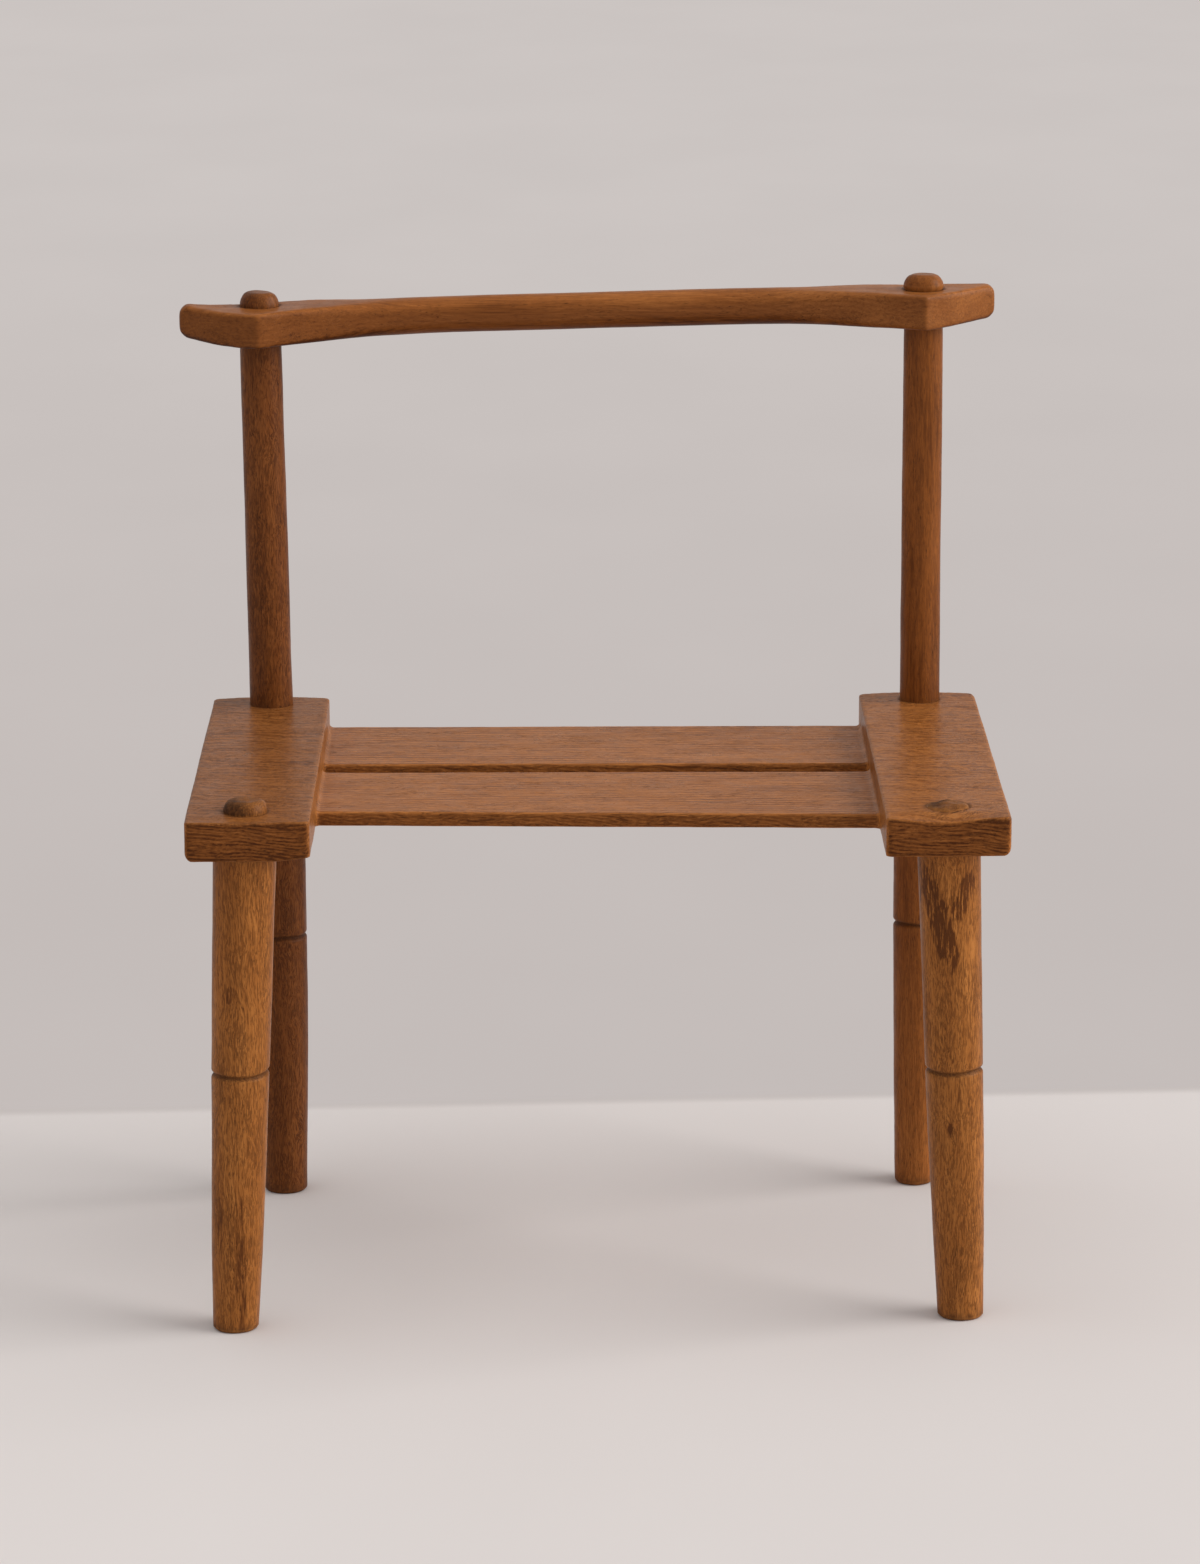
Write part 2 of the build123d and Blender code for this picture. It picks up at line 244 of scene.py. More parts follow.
# ---- Material nodes ----------------------------------------------------
class Graph:
    """Builds a material's nodes. Most calls return the socket that carries their result."""

    def __init__(self, name):
        self.material = bpy.data.materials.new(name)
        self.material.use_nodes = True
        self.tree = self.material.node_tree
        self.shader = self.tree.nodes["Principled BSDF"]
        self.place = self.add("ShaderNodeTexCoord").outputs["Object"]

    def add(self, kind, inputs=(), **settings):
        node = self.tree.nodes.new(kind)
        for key, value in settings.items():
            setattr(node, key, value)
        for key, value in dict(inputs).items():
            self.feed(value, node.inputs[key])
        return node

    def feed(self, value, socket):
        if isinstance(value, bpy.types.NodeSocket):
            self.tree.links.new(value, socket)
        else:
            socket.default_value = value

    def math(self, operation, first, second=0.0, third=0.0):
        node = self.add("ShaderNodeMath", {0: first, 1: second, 2: third}, operation=operation)
        return node.outputs[0]

    def axis(self, index):
        return self.add("ShaderNodeSeparateXYZ", {0: self.place}).outputs[index]

    def stretched(self, sizes, start=0.0):
        """The place, moved and then divided by a length along each axis."""
        inputs = {"Vector": self.place, "Scale": sizes, "Location": (start, start, start)}
        return self.add("ShaderNodeMapping", inputs, vector_type="TEXTURE").outputs[0]

    def noise(self, vector, detail=2.0, roughness=0.5, distortion=0.0):
        inputs = {"Vector": vector, "Scale": 1.0, "Detail": detail}
        inputs |= {"Roughness": roughness, "Distortion": distortion}
        return self.add("ShaderNodeTexNoise", inputs).outputs[0]

    def remap(self, value, low, high, to_low=0.0, to_high=1.0):
        inputs = {"Value": value, "From Min": low, "From Max": high, "To Min": to_low, "To Max": to_high}
        return self.add("ShaderNodeMapRange", inputs, interpolation_type="SMOOTHSTEP").outputs[0]

    def mix(self, factor, first, second, blend="MIX"):
        node = self.add("ShaderNodeMix", data_type="RGBA", blend_type=blend)
        self.feed(factor, node.inputs[0])
        self.feed(first, node.inputs[6])
        self.feed(second, node.inputs[7])
        return node.outputs[2]

    def attribute(self, name):
        return self.add("ShaderNodeAttribute", attribute_name=name).outputs["Fac"]

    def patch(self, centre, sizes, ragged, turn=(0, 0, 0), lump=6 * mm):
        """1 inside an egg-shaped patch of the surface and 0 outside it, with a ragged rim."""
        inputs = {"Vector": self.place, "Location": centre, "Rotation": turn, "Scale": sizes}
        local = self.add("ShaderNodeMapping", inputs, vector_type="TEXTURE").outputs[0]
        distance = self.add("ShaderNodeVectorMath", {0: local}, operation="LENGTH").outputs["Value"]
        rim = self.noise(self.stretched((lump, lump, 3 * lump)), detail=3.0)
        uneven = self.math("MULTIPLY_ADD", rim, 2 * ragged, distance)
        return self.remap(uneven, 0.75 + ragged, 1.15 + ragged, 1.0, 0.0)


def rgba(color, factor=1.0):
    return (color[0] * factor, color[1] * factor, color[2] * factor, 1.0)


def tinted(color, shares):
    return (color[0] * shares[0], color[1] * shares[1], color[2] * shares[2], 1.0)


class Wood:
    """Oiled, long-used hardwood, with its grain along one axis of the chair."""

    def __init__(self, name, grain, seed, color, contrast=1.0):
        self.graph = Graph(name)
        self.grain = grain
        self.seed = seed
        self.color = color
        self.dark = tinted(color, dark_share)
        # The pale of rubbed arrises and raw specks, also used for painted highlight on arrises and ridges.
        self.rubbed = tinted(color, rubbed_and_lit_share)
        self.contrast = contrast
        self.gloss = 0.09
        self.dullness = 0.34
        self.relief = 0.16 * mm
        self.streak_length = 42 * mm
        self.vein_length = 34 * mm
        self.vein_strength = 0.42
        self.line_share = 0.22
        self.fleck_limit = 0.62  # fewer flecks above it, more below it
        self.fleck_strength = 0.5

    def layer(self, across, along, detail=2.0, roughness=0.5, distortion=0.0, shift=0.0):
        """Noise drawn out along the grain."""
        sizes = tuple(along if axis == self.grain else across for axis in range(3))
        vector = self.graph.stretched(sizes, (self.seed + shift) * 0.37)
        return self.graph.noise(vector, detail, roughness, distortion)

    def bend(self, sideways, across, along, share=1.0):
        """Lets everything that follows wander sideways, so that the grain waves and leans."""
        graph = self.graph
        sizes = tuple(along if axis == self.grain else across for axis in range(3))
        inputs = {"Vector": graph.stretched(sizes, self.seed + 9.0), "Scale": 1.0, "Detail": 1.0}
        wander = graph.add("ShaderNodeTexNoise", inputs).outputs["Color"]
        centred = graph.add("ShaderNodeVectorMath", {0: wander, 1: (0.5,) * 3}, operation="SUBTRACT")
        reach = graph.math("MULTIPLY", 2 * sideways, share)
        scaled = graph.add("ShaderNodeVectorMath", {0: centred.outputs[0]}, operation="SCALE")
        graph.feed(reach, scaled.inputs["Scale"])
        moved = graph.add("ShaderNodeVectorMath", {0: graph.place, 1: scaled.outputs[0]}, operation="ADD")
        graph.place = moved.outputs[0]

    def figure(self, across_axis, spacing, swing, across, along, tilt=0.0):
        """Growth lines: waves across the grain, bent into arches by slow noise."""
        graph = self.graph
        slow = self.layer(across, along, detail=1.0, shift=5.1)
        straight = graph.math("MULTIPLY", graph.axis(across_axis), 1 / spacing)
        leaning = graph.math("MULTIPLY_ADD", graph.axis(self.grain), tilt / spacing, straight)
        count = graph.math("MULTIPLY_ADD", slow, swing, leaning)
        wave = graph.math("SINE", graph.math("MULTIPLY", count, 2 * math.pi))
        return graph.remap(wave, -1, 1)

    def tone(self, streak, fibre, lines, stain_and_shade):
        """One value for each place, from dark to light."""
        graph = self.graph
        broad = self.layer(20 * mm, 130 * mm, shift=1.0)
        tone = graph.math("MULTIPLY_ADD", broad, 0.9, -0.20)
        tone = graph.math("MULTIPLY_ADD", streak, 0.75 * self.contrast, tone)
        tone = graph.math("MULTIPLY_ADD", fibre, 0.35 * self.contrast, tone)
        tone = graph.math("MULTIPLY_ADD", lines, self.line_share * self.contrast, tone)
        tone = graph.math("ADD", tone, -0.36 * self.contrast - 0.05)
        if stain_and_shade is not None:
            # Stains, and painted shade where it is given, darken the tone.
            tone = graph.math("MULTIPLY_ADD", stain_and_shade, -0.45, tone)
        return tone

    def toned(self, tone):
        """The wood's colour at each tone."""
        graph = self.graph
        low_half = graph.mix(graph.remap(tone, -0.15, 0.3), self.dark, rgba(self.color))
        return graph.mix(graph.remap(tone, 0.25, 0.85), low_half, tinted(self.color, light_share))

    def open_pores(self, crowding):
        pore = self.layer(0.42 * mm, 4.5 * mm, detail=1.0, shift=4.0)
        level = self.graph.math("MULTIPLY_ADD", crowding, 0.3, pore)
        return self.graph.remap(level, 0.80, 0.88)

    def marked(self, color, crowding, pores):
        """Long dark veins, short flecks and open pores, which crowd in some places and are rare in others."""
        graph = self.graph
        vein = self.layer(1.3 * mm, self.vein_length, roughness=0.55, distortion=0.3, shift=7.0)
        veins = graph.remap(graph.math("MULTIPLY_ADD", crowding, -0.35, vein), 0.38, 0.56)
        strength = self.vein_strength * self.contrast
        color = graph.mix(graph.math("MULTIPLY", veins, strength), color, self.dark)
        fleck = self.layer(0.62 * mm, 6.5 * mm, roughness=0.6, distortion=0.4, shift=8.0)
        level = graph.math("MULTIPLY_ADD", crowding, 0.25, fleck)
        flecks = graph.remap(level, self.fleck_limit, self.fleck_limit + 0.12)
        color = graph.mix(graph.math("MULTIPLY", flecks, self.fleck_strength), color, self.dark)
        return graph.mix(graph.math("MULTIPLY", pores, 0.62), color, rgba(self.color, 0.16))

    def aged_and_shaded(self, color):
        """Dark soiled joints and painted shade in hollows; pale rubbed arrises, partly painted highlight."""
        graph = self.graph
        # Soiled joints, painted shade and painted shadow all take the dark colour.
        dirt_and_shade_share = graph.math("MULTIPLY", graph.attribute("dirt_and_shade"), 0.8)
        color = graph.mix(dirt_and_shade_share, color, rgba(dirt_and_shade_color))
        worn = graph.math("MULTIPLY", graph.attribute("wear_and_highlight"), 0.5)
        return graph.mix(worn, color, self.rubbed)

    def broken(self, color, raw):
        """Pale and dark specks where the surface is rubbed raw."""
        graph = self.graph
        speck = graph.noise(graph.stretched((1.1 * mm, 2.4 * mm, 1.1 * mm)))
        pale = graph.math("MULTIPLY", graph.remap(speck, 0.52, 0.62), raw)
        deep = graph.math("MULTIPLY", graph.remap(speck, 0.46, 0.36), raw)
        color = graph.mix(pale, color, rgba(self.rubbed, 1.15))
        return graph.mix(deep, color, self.dark)

    def satin(self, pores):
        """Satin where it is handled, dull in pores, on soiled joints and in painted shade."""
        graph = self.graph
        cloudy = graph.noise(graph.stretched((14 * mm,) * 3, self.seed), detail=3.0)
        rough = graph.math("MULTIPLY_ADD", cloudy, 0.24, self.dullness - 0.10)
        rough = graph.math("MULTIPLY_ADD", pores, 0.2, rough)
        rough = graph.math("MULTIPLY_ADD", graph.attribute("dirt_and_shade"), 0.25, rough)
        graph.feed(graph.math("MINIMUM", rough, 0.9), graph.shader.inputs["Roughness"])
        graph.shader.inputs["Specular IOR Level"].default_value = self.gloss

    def grain_relief(self, streak, fibre, pores):
        """Relief of the grain, the pores and small knocks."""
        graph = self.graph
        knocks = graph.noise(graph.stretched((5 * mm,) * 3, self.seed + 2), detail=3.0)
        relief = graph.math("MULTIPLY_ADD", streak, 0.45, graph.math("MULTIPLY", fibre, 0.25))
        relief = graph.math("MULTIPLY_ADD", pores, -0.8, relief)
        relief = graph.math("MULTIPLY_ADD", knocks, 0.7, relief)
        bump = graph.add("ShaderNodeBump", {"Height": relief, "Distance": self.relief, "Strength": 1.0})
        graph.feed(bump.outputs[0], graph.shader.inputs["Normal"])

    def finish(self, lines, stain_and_shade=None, painted_light=None, raw=None):
        """Joins the layers: lines of growth, stains and painted shade where it is darker, painted light where
        it is lighter.

        Raw marks where the surface is broken into dark and pale specks.
        """
        graph = self.graph
        streak = self.layer(1.5 * mm, self.streak_length, detail=3.0, roughness=0.6, shift=2.0)
        fibre = self.layer(0.5 * mm, 12 * mm, shift=3.0)
        crowding = self.layer(9 * mm, 40 * mm, detail=1.0, shift=6.0)
        pores = self.open_pores(crowding)
        color = self.toned(self.tone(streak, fibre, lines, stain_and_shade))
        color = self.marked(color, crowding, pores)
        # Painted light: the colour is lifted towards a paler copy of itself.
        if painted_light is not None:
            color = graph.mix(painted_light, color, graph.mix(1.0, color, rgba(painted_light_share), "MULTIPLY"))
        color = self.aged_and_shaded(color)
        if raw is not None:
            color = self.broken(color, raw)
        graph.feed(color, graph.shader.inputs["Base Color"])
        self.satin(pores)
        self.grain_relief(streak, fibre, pores)
        return graph.material


# ---- Poles -------------------------------------------------------------
class Pole:
    """A round pole's surface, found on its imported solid."""

    def __init__(self, node, ring_height, seed):
        self.node = node
        self.ring_height = ring_height
        self.seed = seed
        self.low, self.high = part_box(node)
        self.tree = BVHTree.FromObject(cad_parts[node], bpy.context.evaluated_depsgraph_get())
        guess = self.centre(axis_high_height, (self.low + self.high) / 2)
        self.upper = self.centre(axis_high_height, guess)
        self.lower = self.centre(axis_low_height, self.upper)

    def centre(self, height, guess):
        """The middle of the round section at a height, between what four rays from a guess hit."""
        middle = Vector((guess.x, guess.y, height))
        for _ in range(3):
            for axis, way in enumerate((Vector((1, 0, 0)), Vector((0, 1, 0)))):
                hits = [self.tree.ray_cast(middle, toward)[0] for toward in (way, -way)]
                middle[axis] = sum(hit[axis] for hit in hits) / 2
        return middle

    def axis_at(self, height):
        share = (height - self.lower.z) / (self.upper.z - self.lower.z)
        return self.lower.lerp(self.upper, share)

    def heights(self):
        """Where the level rows lie: fine round the ring, and at the shoulder under the seat."""
        body = np.arange(cap_depth, self.high.z - cap_depth, row_step)
        ring = np.arange(self.ring_height - ring_reach, self.ring_height + ring_reach, fine_step)
        shoulder = [seat_underside - 0.1 * mm, seat_underside + 0.1 * mm]
        body = body[np.abs(body - self.ring_height) > ring_reach]
        return np.unique(np.concatenate([body, ring, shoulder, [self.high.z - cap_depth]]))

    def cast(self, start, direction):
        hit = self.tree.ray_cast(start, direction)[0]
        return hit if hit is not None else start

    def surface(self):
        """Rows of points from the foot's middle to the head's."""
        angles = [2 * math.pi * step / segments for step in range(segments)]
        rises = [math.pi / 2 * (step + 1) / cap_rows for step in range(cap_rows - 1)]
        level = self.heights()
        foot = [(level[0], -rise) for rise in reversed(rises)]
        head = [(level[-1], rise) for rise in rises]
        rows = []
        for height, rise in foot + [(height, 0.0) for height in level] + head:
            start = self.axis_at(height)
            ways = [
                Vector((math.cos(angle) * math.cos(rise), math.sin(angle) * math.cos(rise), math.sin(rise)))
                for angle in angles
            ]
            rows.append([self.cast(start, way) for way in ways])
        return np.array(rows)

    def outward(self, points):
        """Level directions away from the axis, and each point's distance from it."""
        share = (points[..., 2] - self.lower.z) / (self.upper.z - self.lower.z)
        lower = np.array(self.lower)
        axis = lower + share[..., None] * (np.array(self.upper) - lower)
        offset = points - axis
        offset[..., 2] = 0
        distance = np.linalg.norm(offset, axis=-1)
        return offset / np.maximum(distance, 1e-9)[..., None], distance


def grid_mesh(name, rows):
    """A closed skin over rows of points, with a fan at each end."""
    count, around = rows.shape[:2]
    foot_middle = rows[0].mean(0)
    head_middle = rows[-1].mean(0)
    points = np.concatenate([rows.reshape(-1, 3), [foot_middle, head_middle]])
    faces = []
    for row in range(count - 1):
        for step in range(around):
            following = (step + 1) % around
            first = row * around
            second = first + around
            faces.append((first + step, first + following, second + following, second + step))
    foot_index = count * around
    last = (count - 1) * around
    for step in range(around):
        following = (step + 1) % around
        faces.append((foot_index, following, step))
        faces.append((foot_index + 1, last + step, last + following))
    mesh = bpy.data.meshes.new(name)
    mesh.from_pydata(points.tolist(), [], faces)
    mesh.update()
    return mesh


def ring_wander(pole, angles):
    """How far the hand-cut ring lies above or below its middle height, round the pole."""
    return (0.5 * np.sin(angles + pole.seed) + 0.35 * np.sin(3 * angles + 2 * pole.seed)) * mm


def soften_ring(pole, rows):
    """Turns the crisp V of the cut ring into a worn groove that wanders up and down."""
    heights = rows[:, 0, 2]
    near = np.abs(heights - pole.ring_height) < ring_reach + row_step
    index = np.flatnonzero(near)
    ways, distance = pole.outward(rows)
    for _ in range(ring_softness):
        band = distance[index[0] - 1 : index[-1] + 2]
        band = (band[:-2] + 2 * band[1:-1] + band[2:]) / 4
        change = band - distance[index]
        rows[index] += ways[index] * change[..., None]
        distance[index] = band
    depth = np.maximum(distance[index[0]] - distance[index], 0)
    rows[index] -= ways[index] * (ring_deepening * depth)[..., None]
    angles = np.arctan2(ways[index][..., 1], ways[index][..., 0])
    fade = 1 - smooth_step(2.5 * mm, ring_reach, np.abs(rows[index][..., 2] - pole.ring_height))
    rows[index, :, 2] += ring_wander(pole, angles) * fade
    return rows


def carve_pole(pole, rows):
    """The slow waves and small flats of a pole that was shaped by hand."""
    ways, distance = pole.outward(rows)
    flat = rows.reshape(-1, 3)
    waves = lumps(flat, (16 * mm, 16 * mm, 55 * mm), pole.seed)
    flats = lumps(flat, (7 * mm, 7 * mm, 22 * mm), pole.seed + 3)
    dents = lumps(flat, (3 * mm, 3 * mm, 5 * mm), pole.seed + 5)
    push = (0.34 * waves + 0.16 * flats + 0.05 * dents) * mm
    # The pole fits tightly in its hole in the seat. The push is level, so the foot stays flat.
    free = 1 - smooth_step(0, 3 * mm, flat[:, 2] - seat_underside) * smooth_step(
        -1 * mm, 1 * mm, seat_top - flat[:, 2]
    )
    near_axis = smooth_step(0, 5 * mm, distance.reshape(-1))
    flat = flat + ways.reshape(-1, 3) * (push * free * near_axis)[:, None]
    return flat.reshape(rows.shape)


def square_head(pole, rows, head):
    """Fills out a head's shoulders, so that its side stands more upright, and spreads it."""
    ways, distance = pole.outward(rows)
    on_head = rows[..., 2] > head.base + 0.1 * mm
    reach = distance[on_head].max()
    fuller = head.spread * reach * (distance / reach) ** head.fullness
    return rows + ways * np.where(on_head, fuller - distance, 0)[..., None]


def wear_head(pole, rows, head):
    """Knife marks and dents on the top of a head; a crease runs across it where one is given."""
    flat = rows.reshape(-1, 3).copy()
    top = smooth_step(pole.high.z - 9 * mm, pole.high.z - 3 * mm, flat[:, 2])
    drop = head.depth * (0.5 + 0.5 * lumps(flat, head.lump, pole.seed + 8))
    if head.crease is not None:
        offset, width, crease_depth = head.crease
        across = flat[:, 0] - pole.axis_at(pole.high.z).x - offset + 0.15 * (flat[:, 1] - pole.upper.y)
        drop = drop + crease_depth * bell(across, width)
    flat[:, 2] -= drop * top
    return flat.reshape(rows.shape)


def pole_marks(pole, mesh, head):
    """Pale ridges, partly painted highlight; soiling and painted shade in the ring and under the seat; soiled
    joints and foot.
    """
    points = mesh_points(mesh)
    standing = bulge(mesh, 4)
    speckle = lumps(points, 2.5 * mm, pole.seed + 11)
    ways, distance = pole.outward(points)
    angles = np.arctan2(ways[:, 1], ways[:, 0])
    above_ring = points[:, 2] - pole.ring_height - ring_wander(pole, angles)
    patchy = 0.55 + 0.45 * lumps(points, 9 * mm, pole.seed + 12)
    # The ring's groove is darkened, for soiling and as painted shade.
    in_ring = bell(above_ring, ring_dirt_and_shade_width * (0.75 + 0.5 * patchy))
    seat_joint = bell(points[:, 2] - seat_top, 1.6 * mm)
    # Painted shade, with the dark joint, where the pole meets the seat's underside.
    shoulder = smooth_step(seat_underside - 3.5 * mm, seat_underside, points[:, 2])
    shoulder *= points[:, 2] < seat_underside + 1 * mm
    foot = smooth_step(8 * mm, 0, points[:, 2] + 3 * mm * speckle)
    dirt_and_shade = 0.8 * in_ring + 0.5 * seat_joint * patchy + 0.7 * shoulder + 0.65 * foot
    # Standing ridges, the ring's lips among them, are made pale: partly rubbed, partly painted highlight.
    lip = smooth_step(0.06 * mm, 0.22 * mm, standing) * (0.5 + 0.5 * speckle)
    # The head: its top is darkened, most towards one side, and made paler away from that side, as each head
    # is given.
    on_head = smooth_step(0, 1 * mm, points[:, 2] - head.base)
    dark_side = smooth_step(-0.2, 0.9, np.cos(angles - head.dark_angle)) * smooth_step(0, 9 * mm, distance)
    dirt_and_shade += on_head * head.darkening * (0.35 + 0.9 * dark_side * (0.7 + 0.6 * speckle))
    lip += on_head * head.shine * (0.6 + 0.4 * speckle) * (1 - dark_side)
    set_attribute(mesh, "dirt_and_shade", dirt_and_shade)
    set_attribute(mesh, "wear_and_highlight", lip)


@dataclass
class Head:
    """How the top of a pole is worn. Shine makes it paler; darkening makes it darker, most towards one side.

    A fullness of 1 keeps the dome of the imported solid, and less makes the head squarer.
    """

    base: float
    depth: float
    lump: float
    darkening: float = 0.0
    shine: float = 0.0
    dark_angle: float = math.radians(200)
    crease: tuple = None  # how far beside the axis, how wide, how deep
    fullness: float = 0.75
    spread: float = 1.0


def make_pole(pole, material, head):
    rows = soften_ring(pole, pole.surface())
    rows = carve_pole(pole, rows)
    rows = square_head(pole, rows, head)
    rows = wear_head(pole, rows, head)
    mesh = grid_mesh(f"{pole.node}_worn", rows)
    set_points(mesh, mesh_points(mesh))
    pole_marks(pole, mesh, head)
    new_piece(f"{pole.node}_worn", mesh, material, pole.node)


def pole_material(name, seed, color, contrast=1.0, lean=3.5 * mm, flecks=0.62, stain_and_shade=None):
    """Grain up the pole, waving and full of flecks; stain is a function that marks where it is darker."""
    wood = Wood(name, 2, seed, color, contrast)
    dark = stain_and_shade(wood.graph) if stain_and_shade else None
    wood.line_share = 0.10
    wood.streak_length = 26 * mm
    wood.vein_length = 14 * mm
    wood.fleck_limit = 0.57
    wood.fleck_strength = flecks
    wood.bend(lean, 16 * mm, 34 * mm)
    lines = wood.figure(0, 4.5 * mm, 5.0, 16 * mm, 170 * mm, tilt=0.02)
    return wood.finish(lines, stain_and_shade=dark)


# ---- Seat --------------------------------------------------------------
def remeshed(node, voxel, plugs):
    """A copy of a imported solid's surface in even small faces.

    The poles fill their holes, so each hole gets a plug, given by its pole, low end and high end. Without
    plugs the even faces would round the holes' rims into wide dark rings.
    """
    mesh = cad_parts[node].data.copy()
    shell = bmesh.new()
    shell.from_mesh(mesh)
    bmesh.ops.remove_doubles(shell, verts=shell.verts, dist=0.001 * mm)
    for pole, low, high in plugs:
        middle = pole.axis_at((low + high) / 2)
        size = {"radius1": plug_radius, "radius2": plug_radius, "depth": high - low, "segments": 64}
        bmesh.ops.create_cone(shell, cap_ends=True, matrix=Matrix.Translation(middle), **size)
    shell.to_mesh(mesh)
    shell.free()
    source = bpy.data.objects.new(f"{node}_source", mesh)
    bpy.context.scene.collection.objects.link(source)
    remesh = source.modifiers.new("even_faces", "REMESH")
    remesh.mode = "VOXEL"
    remesh.voxel_size = voxel
    bpy.context.view_layer.update()
    evaluated = source.evaluated_get(bpy.context.evaluated_depsgraph_get())
    result = bpy.data.meshes.new_from_object(evaluated)
    result.materials.clear()
    bpy.data.objects.remove(source)
    return result


def worn_surface(mesh, seed, rounds, wave, chip_depth):
    """Softens the arrises, adds slow waves and takes small chips out of the arrises."""
    edges = mesh_edges(mesh)
    set_points(mesh, smoothed(mesh_points(mesh), edges, rounds))
    points = mesh_points(mesh)
    normals = mesh_normals(mesh)
    arris = smooth_step(0.15 * mm, 0.6 * mm, bulge(mesh, 6))
    waves = lumps(points, 45 * mm, seed)
    flats = lumps(points, 15 * mm, seed + 2)
    dents = lumps(points, 5 * mm, seed + 4)
    chips = smooth_step(0.30, 0.62, lumps(points, 6 * mm, seed + 6)) * arris
    push = wave * (0.65 * waves + 0.35 * flats) + 0.035 * mm * dents - chip_depth * chips
    set_points(mesh, points + normals * push[:, None])
    return chips


def carve_front_ends(mesh):
    """The pads' front ends: top arrises worn down in the middle, and a left underside that rises inwards."""
    points = mesh_points(mesh)
    front = smooth_step(seat_low.y + 18 * mm, seat_low.y, points[:, 1])
    level = (points[:, 2] - seat_underside) / (seat_top - seat_underside)
    across = points[:, 0] - seat_middle
    dip = right_dip * bell(across - pad_inner - 33 * mm, 24 * mm)
    dip += left_dip * bell(across + pad_inner + 40 * mm, 15 * mm)
    points[:, 2] -= dip * front * smooth_step(0.4, 1.0, level)
    inwards = smooth_step(-pad_inner - 22 * mm, -pad_inner, across) * (across < 20 * mm - pad_inner)
    near_front = smooth_step(seat_low.y + 60 * mm, seat_low.y + 10 * mm, points[:, 1])
    points[:, 2] += left_rise * inwards * near_front * smooth_step(0.6, 0.0, level)
    set_points(mesh, points)


def joint_line(points, pole):
    """The dark line where a pole comes through its pad."""
    centre = pole.axis_at(seat_top)
    radius = np.hypot(points[:, 0] - centre.x, points[:, 1] - centre.y)
    edge = seat_joint_radius + 0.8 * mm * lumps(points, 5 * mm, 33 + pole.seed)
    return 1 - smooth_step(edge - 0.4 * mm, edge + 1.4 * mm, radius)


def painted_shadow_beside_head(points, pole, reach, speckle):
    """Painted shadow on the pad, at the left of a front head, where its shadow falls."""
    offset = points - np.array(pole.axis_at(seat_top))
    radius = np.hypot(offset[:, 0], offset[:, 1])
    side = smooth_step(-0.1, 0.8, (-offset[:, 0] - 0.5 * offset[:, 1]) / np.maximum(radius, 1 * mm))
    dark = side * smooth_step(13 * mm + reach, 12.5 * mm, radius) * (0.6 + 0.6 * speckle)
    return dark * (points[:, 2] > seat_top - 2 * mm)


def raw_round_head(points, pole, speckle):
    """Round a head the pad's top is rubbed raw, in pale specks."""
    offset = points - np.array(pole.axis_at(seat_top))
    raw = bell(offset[:, 0] - 5 * mm, 19 * mm) * bell(offset[:, 1] + 12 * mm, 15 * mm)
    return raw * (0.75 + 0.5 * speckle) * smooth_step(seat_top - 6 * mm, seat_top - 2 * mm, points[:, 2])


def seat_marks(mesh, chips, poles):
    """Where the seat is rubbed, where its joints are dark, where painted shade and shadow lie, and which
    faces look towards the front.
    """
    left_front, right_front = poles[:2]
    points = mesh_points(mesh)
    standing = bulge(mesh, 6)
    speckle = lumps(points, 3 * mm, 31)
    slow = lumps(points, 24 * mm, 32)
    arris = smooth_step(0.12 * mm, 0.55 * mm, standing)
    # Painted shade: hollows and inside corners are darkened.
    hollow = smooth_step(0.15 * mm, 0.6 * mm, -standing)
    joint = np.max([joint_line(points, pole) for pole in poles], axis=0)
    # Painted shadow of each front head on the pad, joined to the dark joint lines.
    joint = np.maximum(joint, painted_shadow_beside_head(points, left_front, 3.5 * mm, speckle))
    joint = np.maximum(joint, painted_shadow_beside_head(points, right_front, 5 * mm, speckle))
    raw = raw_round_head(points, right_front, speckle)
    front_arris = arris * (points[:, 1] < seat_low.y + 5 * mm) * (points[:, 2] > seat_top - 5 * mm)
    # Pale arrises, partly rubbed and partly painted highlight; the chips are pale too.
    set_attribute(mesh, "wear_and_highlight", arris * (0.45 + 0.5 * speckle + 0.3 * slow) + 0.9 * chips)
    set_attribute(mesh, "raw", np.maximum(raw, 0.8 * front_arris * (0.6 + 0.6 * slow)))
    set_attribute(mesh, "dirt_and_shade", 0.5 * hollow + 0.75 * joint)
    set_attribute(mesh, "end", smooth_step(0.55, 0.95, -mesh_normals(mesh)[:, 1]))


def seat_lines(wood, end, on_pad):
    """Straight lines on the slats, mottled arches on the pads, and finer lines on the front ends."""
    graph = wood.graph
    straight = wood.figure(1, 5.0 * mm, 2.0, 30 * mm, 260 * mm)
    arched = wood.figure(1, 7.0 * mm, 4.0, 26 * mm, 60 * mm, tilt=0.12)
    on_end = wood.figure(2, 2.3 * mm, 2.5, 26 * mm, 90 * mm, tilt=0.10)
    mottle = graph.noise(graph.stretched((3.2 * mm, 9 * mm, 1.6 * mm), 3.0), detail=3.0, roughness=0.65)
    speckled = graph.remap(mottle, 0.35, 0.65, -0.45, 0.45)
    on_end = graph.math("MULTIPLY_ADD", speckled, 0.62, graph.math("MULTIPLY", on_end, 0.6))
    lines = graph.mix(on_pad, straight, graph.math("ADD", arched, speckled))
    return graph.mix(end, lines, on_end)


